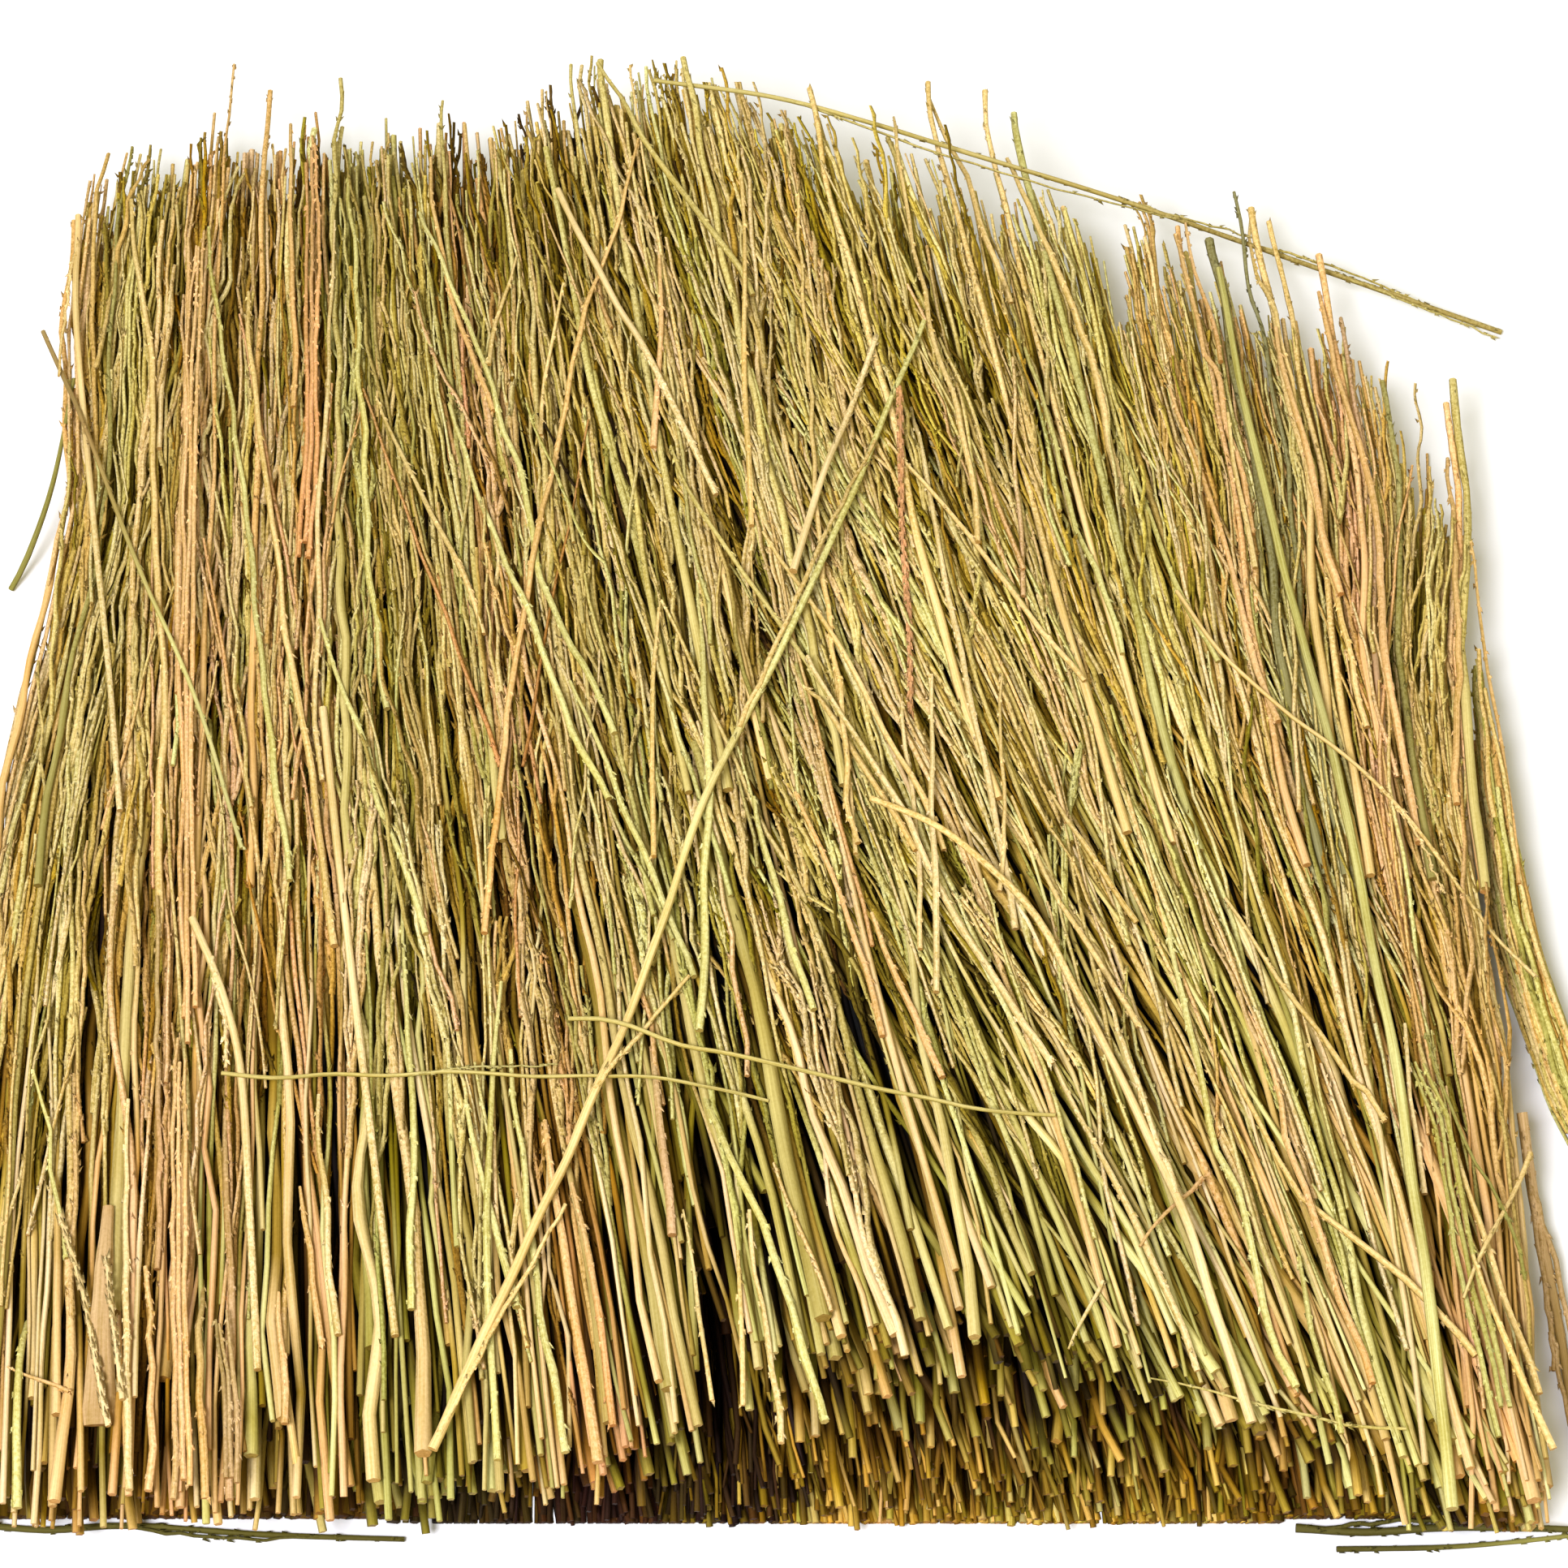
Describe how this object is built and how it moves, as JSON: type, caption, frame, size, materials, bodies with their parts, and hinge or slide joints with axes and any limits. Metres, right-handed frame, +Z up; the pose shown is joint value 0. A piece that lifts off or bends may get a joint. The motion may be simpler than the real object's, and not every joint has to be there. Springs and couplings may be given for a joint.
{
  "type": "bunch of dried field grass",
  "caption": "Wide low bunch of dried field grass lying on its side: long straw and olive stems with cut ends at one end and ragged tips at the other.",
  "frame": {"origin": "on the surface that the bunch lies on, under the middle of its bounding box", "axes": "+Y along the bunch from the cut ends to the tips, +Z up, +X to the right seen from the cut ends"},
  "size_m": [0.3605, 0.3836, 0.0685],
  "materials": {
    "grass_top": "dry straw, matt with a slight waxy sheen",
    "grass_middle": "dry straw and olive stems, matt",
    "grass_base": "weathered straw and olive stems, matt",
    "straw_stem": "golden straw, slight sheen",
    "pale_stem": "pale straw, slight sheen",
    "green_stem": "grey-green dried stem, matt",
    "brown_stem": "dark brown weathered stem, matt",
    "rust_head": "rust-brown spikelets, matt",
    "pale_head": "pale papery seed husks, matt",
    "leaf_sheath": "papery brown leaf sheath, matt"
  },
  "bodies": {
    "root": {"broad_green_stalk": "green_stem", "crossing_stem_left": "green_stem", "crossing_stem_right": "green_stem", "curved_pale_stem": "pale_stem", "curved_tan_stem": "straw_stem", "floor_stalk_left": "brown_stem", "floor_stalk_right": "brown_stem", "floor_twig_right": "brown_stem", "forked_pale_stalk": "pale_stem", "leaf_sheath": "leaf_sheath", "left_dark_stem": "brown_stem", "left_outer_stalk": "green_stem", "lock_base_01": "grass_base", "lock_base_02": "grass_base", "lock_base_03": "grass_base", "lock_base_04": "grass_base", "lock_base_05": "grass_base", "lock_base_06": "grass_base", "lock_base_07": "grass_base", "lock_base_08": "grass_base", "lock_base_09": "grass_base", "lock_base_10": "grass_base", "lock_base_11": "grass_base", "lock_middle_01": "grass_middle", "lock_middle_02": "grass_middle", "lock_middle_03": "grass_middle", "lock_middle_04": "grass_middle", "lock_middle_05": "grass_middle", "lock_middle_06": "grass_middle", "lock_middle_07": "grass_middle", "lock_middle_08": "grass_middle", "lock_middle_09": "grass_middle", "lock_middle_10": "grass_middle", "lock_middle_11": "grass_middle", "lock_middle_12": "grass_middle", "lock_top_01": "grass_top", "lock_top_02": "grass_top", "lock_top_03": "grass_top", "lock_top_04": "grass_top", "lock_top_05": "grass_top", "lock_top_06": "grass_top", "lock_top_07": "grass_top", "lock_top_08": "grass_top", "lock_top_09": "grass_top", "lock_top_10": "grass_top", "lock_top_11": "grass_top", "lock_top_12": "grass_top", "lock_top_13": "grass_top", "lock_top_14": "grass_top", "long_diagonal_stalk": "straw_stem", "pale_diagonal_stalk": "pale_stem", "pale_front_stalk": "pale_stem", "pale_middle_stalk": "pale_stem", "red_spikelet_head": "rust_head", "right_fallen_stem": "brown_stem", "right_side_tuft": "grass_middle", "seed_head_inner": "pale_head", "seed_head_outer": "pale_head", "slanting_peach_stem": "straw_stem", "trailing_panicle_stem": "straw_stem"}
  },
  "joints": []
}
